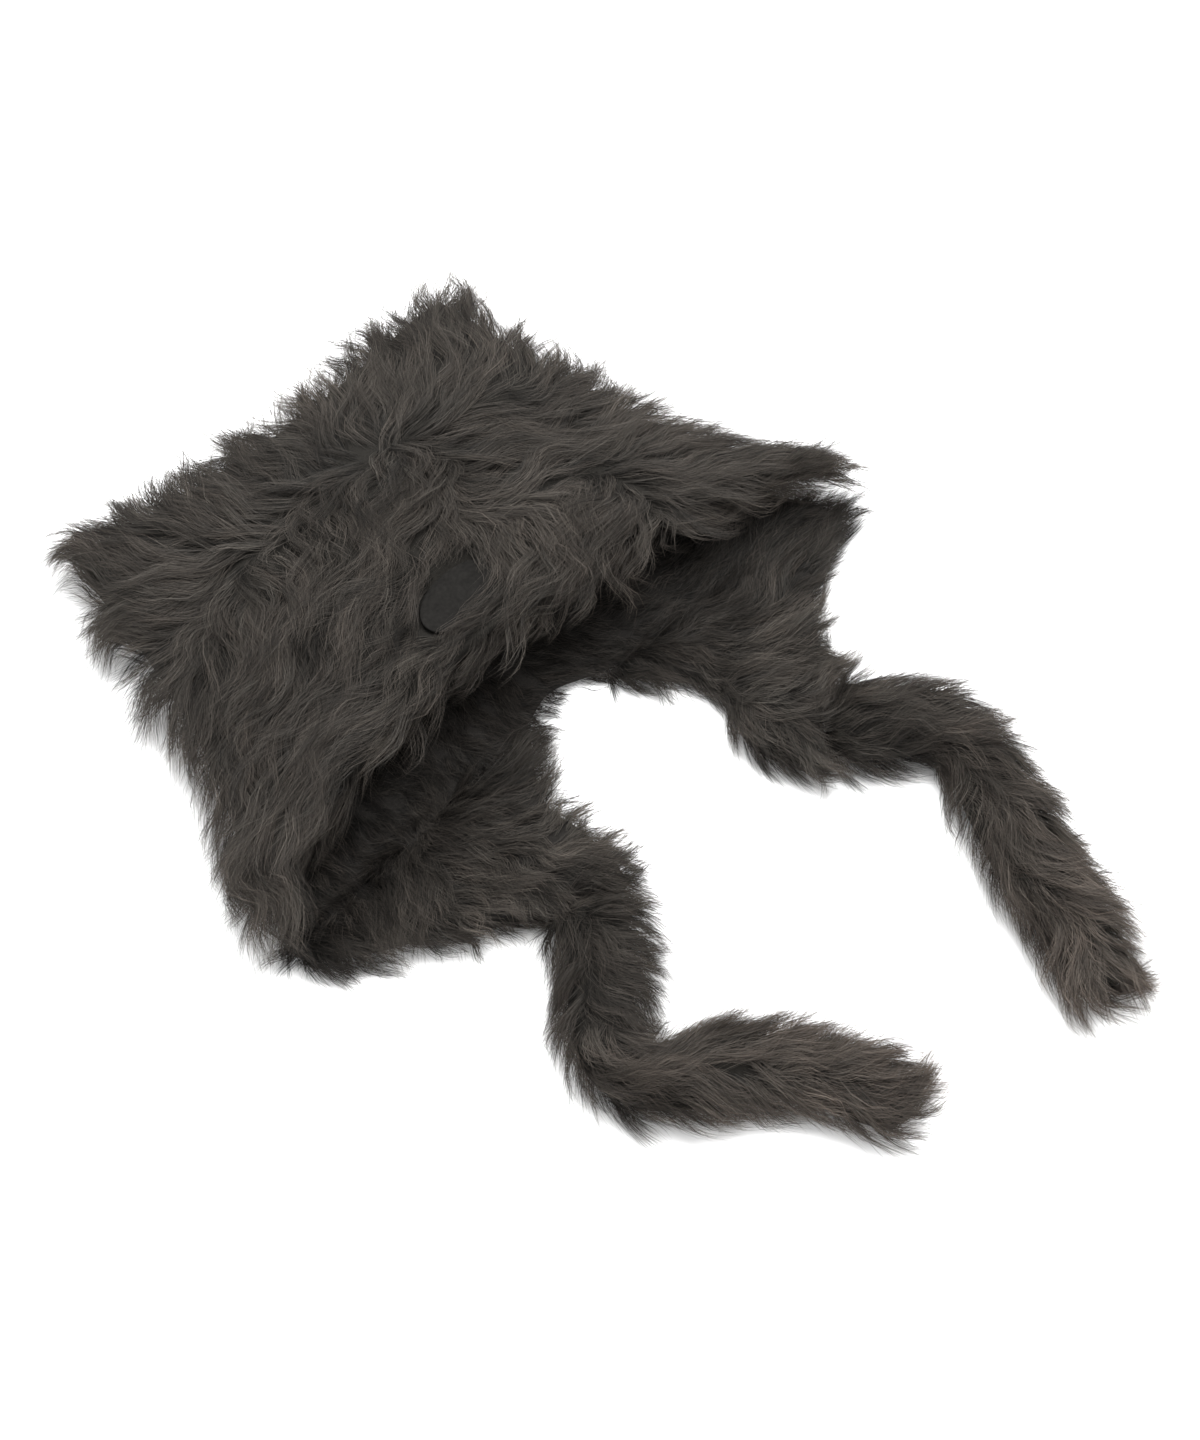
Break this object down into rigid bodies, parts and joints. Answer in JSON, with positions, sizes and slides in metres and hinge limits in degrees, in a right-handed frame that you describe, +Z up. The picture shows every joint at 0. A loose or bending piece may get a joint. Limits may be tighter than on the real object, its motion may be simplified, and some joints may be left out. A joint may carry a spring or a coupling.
{
  "type": "earflap hat",
  "caption": "Shaggy fur earflap hat lying flat with its head opening forward, two earflaps that run out into fur tails, and an oval felt patch.",
  "frame": {"origin": "on the flat face that the hat lies on, under the middle of the crown", "axes": "+Z up, away from the surface it lies on; +Y from the head opening to the closed top of the crown, the tails running the other way; +X completes the frame, to the right as seen from above with the crown's top away from the viewer"},
  "size_m": [0.3039, 0.429, 0.0532],
  "materials": {
    "fur_front": "long shaggy pile",
    "fur_back": "long shaggy pile",
    "fur_tail": "long shaggy pile",
    "felt": "matt felt"
  },
  "bodies": {
    "root": {"crown_front": "fur_front", "crown_back": "fur_back", "earflap_left": "fur_back", "earflap_right": "fur_back", "tail_left": "fur_tail", "tail_right": "fur_tail", "front_patch": "felt"}
  },
  "joints": []
}
